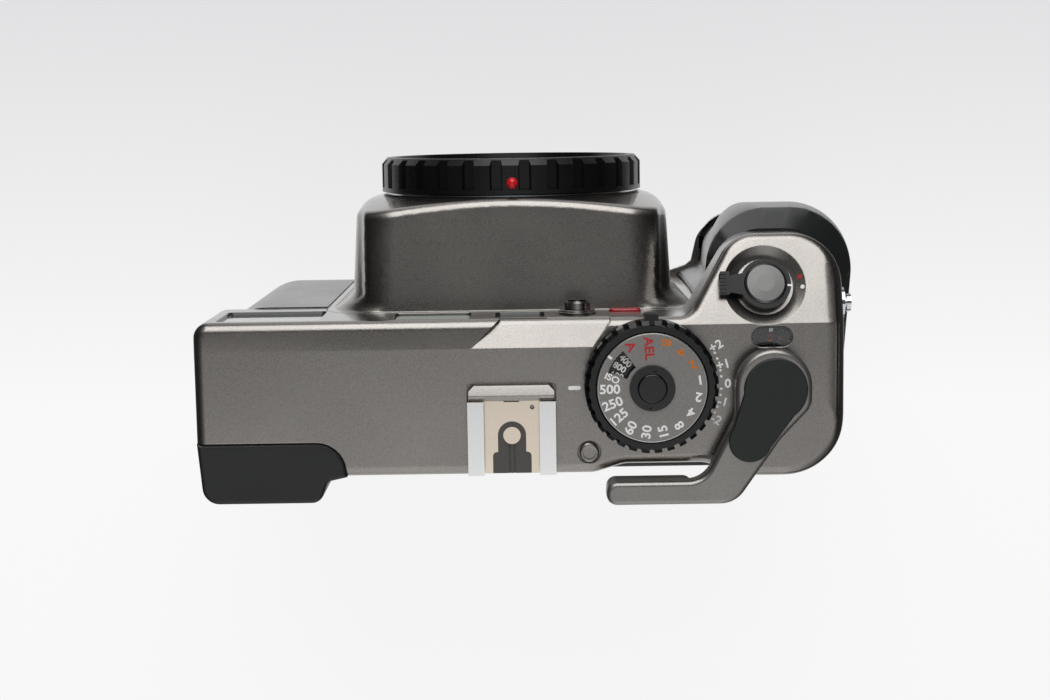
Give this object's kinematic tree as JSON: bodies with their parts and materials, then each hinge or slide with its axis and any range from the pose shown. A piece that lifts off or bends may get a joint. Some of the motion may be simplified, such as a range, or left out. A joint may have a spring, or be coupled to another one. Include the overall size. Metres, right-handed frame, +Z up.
{
  "type": "medium format rangefinder camera",
  "caption": "Roll film rangefinder camera body without a lens, with a square lens barrel closed by a ribbed cap, a hand grip, top plate dials and a hinged back.",
  "frame": {"origin": "centre of the tripod socket's mouth in the base, below the lens axis", "axes": "+Z up, +Y out through the lens, +X to the user's right"},
  "size_m": [0.1603, 0.078, 0.112],
  "materials": {
    "satin_paint": "fine metallic, satin",
    "cast_black": "matt black",
    "grip_rubber": "moulded, matt",
    "black_plastic": "fine texture",
    "gloss_black": "polished",
    "insulator": "moulded",
    "board_green": "solder mask",
    "door_black": "textured",
    "steel": "brushed",
    "nickel": "warm nickel",
    "chrome": "polished",
    "brass": "plated",
    "coated_glass": "coated",
    "frosted_glass": "frosted",
    "clear_plastic": "clear moulded",
    "red_lamp": "transparent red",
    "red_enamel": "enamel",
    "mirror": "silvered"
  },
  "bodies": {
    "camera_body": {"main_chassis": "cast_black", "front_cover": "satin_paint", "top_cover": "satin_paint", "base_cover": "satin_paint", "left_panel": "grip_rubber", "hand_grip": "grip_rubber", "eyepiece_housing": "black_plastic", "eyepiece_lens": "coated_glass", "viewfinder_window": "coated_glass", "illumination_window": "frosted_glass", "rangefinder_window": "coated_glass", "signal_lamp": "red_lamp", "finder_block": "cast_black", "circuit_board": "board_green", "sync_terminal": "nickel", "lens_mount_ring": "chrome", "mount_screws": "steel", "strap_lugs": "chrome", "shoe_bar": "satin_paint", "shoe_rails": "steel", "shoe_floor": "nickel", "shoe_insulator": "insulator", "shoe_contact": "nickel", "counter_window": "clear_plastic", "hinge_pin": "steel", "tripod_bush": "steel", "base_screws": "steel", "battery": "steel"},
    "cap": {"body_cap": "black_plastic", "cap_index": "red_enamel"},
    "compensation": {"compensation_ring": "satin_paint"},
    "speed": {"speed_dial": "satin_paint", "dial_hub": "gloss_black"},
    "speed_lock": {"dial_lock": "gloss_black"},
    "film_speed": {"iso_disc": "black_plastic"},
    "release_lock": {"lock_collar": "black_plastic"},
    "release": {"shutter_button": "gloss_black"},
    "advance": {"advance_lever": "satin_paint", "lever_pad": "grip_rubber", "lever_shaft": "steel"},
    "idler": {"idler_gears": "steel"},
    "take_up": {"take_up_key": "brass"},
    "counter": {"counter_disc": "black_plastic"},
    "check": {"check_button": "satin_paint"},
    "supply": {"supply_key": "brass"},
    "stud_left": {"spool_stud_left": "brass"},
    "stud_right": {"spool_stud_right": "brass"},
    "roller_left": {"film_roller_left": "steel"},
    "roller_right": {"film_roller_right": "steel"},
    "curtain": {"curtain_key": "black_plastic", "curtain_blind": "black_plastic"},
    "door": {"back_door": "door_black"},
    "pressure": {"pressure_plate": "steel", "plate_spring": "steel"},
    "latch": {"door_latch": "black_plastic"},
    "lens_lock": {"lens_release": "gloss_black"},
    "cam_arm": {"rangefinder_arm": "cast_black"},
    "mirror": {"rangefinder_mirror": "mirror"},
    "battery_door": {"battery_cover": "black_plastic"}
  },
  "joints": [
    {"name": "cap_slide", "type": "slide", "parent": "camera_body", "child": "cap", "axis": [0, 1, 0], "range_m": [0, 0.025]},
    {"name": "compensation_turn", "type": "hinge", "parent": "camera_body", "child": "compensation", "pos_m": [0.03135, 0.0012, 0.104], "axis": [0, 0, 1], "range_deg": [-30, 30]},
    {"name": "speed_turn", "type": "hinge", "parent": "camera_body", "child": "speed", "pos_m": [0.03135, 0.0012, 0.104], "axis": [0, 0, 1], "range_deg": [-252, 86]},
    {"name": "speed_lock_press", "type": "slide", "parent": "speed", "child": "speed_lock", "axis": [0, 0, -1], "range_m": [0, 0.0008], "stiffness_N_per_m": 600},
    {"name": "film_speed_turn", "type": "hinge", "parent": "speed", "child": "film_speed", "pos_m": [0.03135, 0.0012, 0.104], "axis": [0, 0, 1], "range_deg": [-120, 120]},
    {"name": "release_lock_turn", "type": "hinge", "parent": "camera_body", "child": "release_lock", "pos_m": [0.0579, 0.02305, 0.10059], "axis": [0, 0.3746, 0.9272], "range_deg": [0, 16]},
    {"name": "release_press", "type": "slide", "parent": "camera_body", "child": "release", "axis": [0, -0.3746, -0.9272], "range_m": [0, 0.0015], "stiffness_N_per_m": 800},
    {"name": "advance_turn", "type": "hinge", "parent": "camera_body", "child": "advance", "pos_m": [0.0589, 0.0009, 0.104], "axis": [0, 0, 1], "range_deg": [0, 150], "stiffness_Nm_per_rad": 0.03},
    {"name": "idler_turn", "type": "hinge", "parent": "camera_body", "child": "idler", "pos_m": [0.0449, 0.0009, 0.09], "axis": [0, 0, 1], "range_deg": [-375, 0]},
    {"name": "take_up_turn", "type": "hinge", "parent": "camera_body", "child": "take_up", "pos_m": [0.0589, 0.0009, 0.09], "axis": [0, 0, 1], "range_deg": [0, 562.5]},
    {"name": "counter_turn", "type": "hinge", "parent": "camera_body", "child": "counter", "pos_m": [0.0589, 0.0009, 0.101], "axis": [0, 0, 1], "range_deg": [0, 18]},
    {"name": "check_press", "type": "slide", "parent": "camera_body", "child": "check", "axis": [0, 0, -1], "range_m": [0, 0.0005], "stiffness_N_per_m": 500},
    {"name": "supply_turn", "type": "hinge", "parent": "camera_body", "child": "supply", "pos_m": [-0.0545, 0.0009, 0.084], "axis": [0, 0, 1], "continuous": true},
    {"name": "stud_left_press", "type": "slide", "parent": "camera_body", "child": "stud_left", "axis": [0, 0, -1], "range_m": [0, 0.0035], "stiffness_N_per_m": 400},
    {"name": "stud_right_press", "type": "slide", "parent": "camera_body", "child": "stud_right", "axis": [0, 0, -1], "range_m": [0, 0.0035], "stiffness_N_per_m": 400},
    {"name": "roller_left_turn", "type": "hinge", "parent": "camera_body", "child": "roller_left", "pos_m": [-0.0389, -0.0149, 0.049], "axis": [0, 0, 1], "continuous": true},
    {"name": "roller_right_turn", "type": "hinge", "parent": "camera_body", "child": "roller_right", "pos_m": [0.043, -0.0149, 0.049], "axis": [0, 0, 1], "continuous": true},
    {"name": "curtain_turn", "type": "hinge", "parent": "camera_body", "child": "curtain", "pos_m": [-0.0381, 0.0085, 0.049], "axis": [0, 0, 1], "range_deg": [0, 300]},
    {"name": "door_turn", "type": "hinge", "parent": "camera_body", "child": "door", "pos_m": [0.0706, -0.0207, 0.049], "axis": [0, 0, 1], "range_deg": [0, 120]},
    {"name": "pressure_press", "type": "slide", "parent": "door", "child": "pressure", "axis": [0, -1, 0], "range_m": [0, 0.0003], "stiffness_N_per_m": 2000},
    {"name": "latch_slide", "type": "slide", "parent": "camera_body", "child": "latch", "axis": [0, 0, -1], "range_m": [0, 0.004], "stiffness_N_per_m": 500},
    {"name": "lens_lock_press", "type": "slide", "parent": "camera_body", "child": "lens_lock", "axis": [0, -1, 0], "range_m": [0, 0.0018], "stiffness_N_per_m": 800},
    {"name": "cam_arm_turn", "type": "hinge", "parent": "camera_body", "child": "cam_arm", "pos_m": [0.014, 0.0176, 0.0793], "axis": [1, 0, 0], "range_deg": [0, 4], "stiffness_Nm_per_rad": 0.1},
    {"name": "mirror_turn", "type": "hinge", "parent": "camera_body", "child": "mirror", "pos_m": [0.0018, 0.007, 0.09], "axis": [0, 0, 1], "range_deg": [0, 2]},
    {"name": "battery_door_turn", "type": "hinge", "parent": "camera_body", "child": "battery_door", "pos_m": [0.062, 0.025, 0.001], "axis": [0, 0, 1], "range_deg": [0, 90]}
  ],
  "couplings": [
    {"joint": "idler_turn", "follows": "advance_turn", "ratio": -2.5},
    {"joint": "take_up_turn", "follows": "advance_turn", "ratio": 3.75},
    {"joint": "counter_turn", "follows": "advance_turn", "ratio": 0.12},
    {"joint": "mirror_turn", "follows": "cam_arm_turn", "ratio": 0.5}
  ]
}
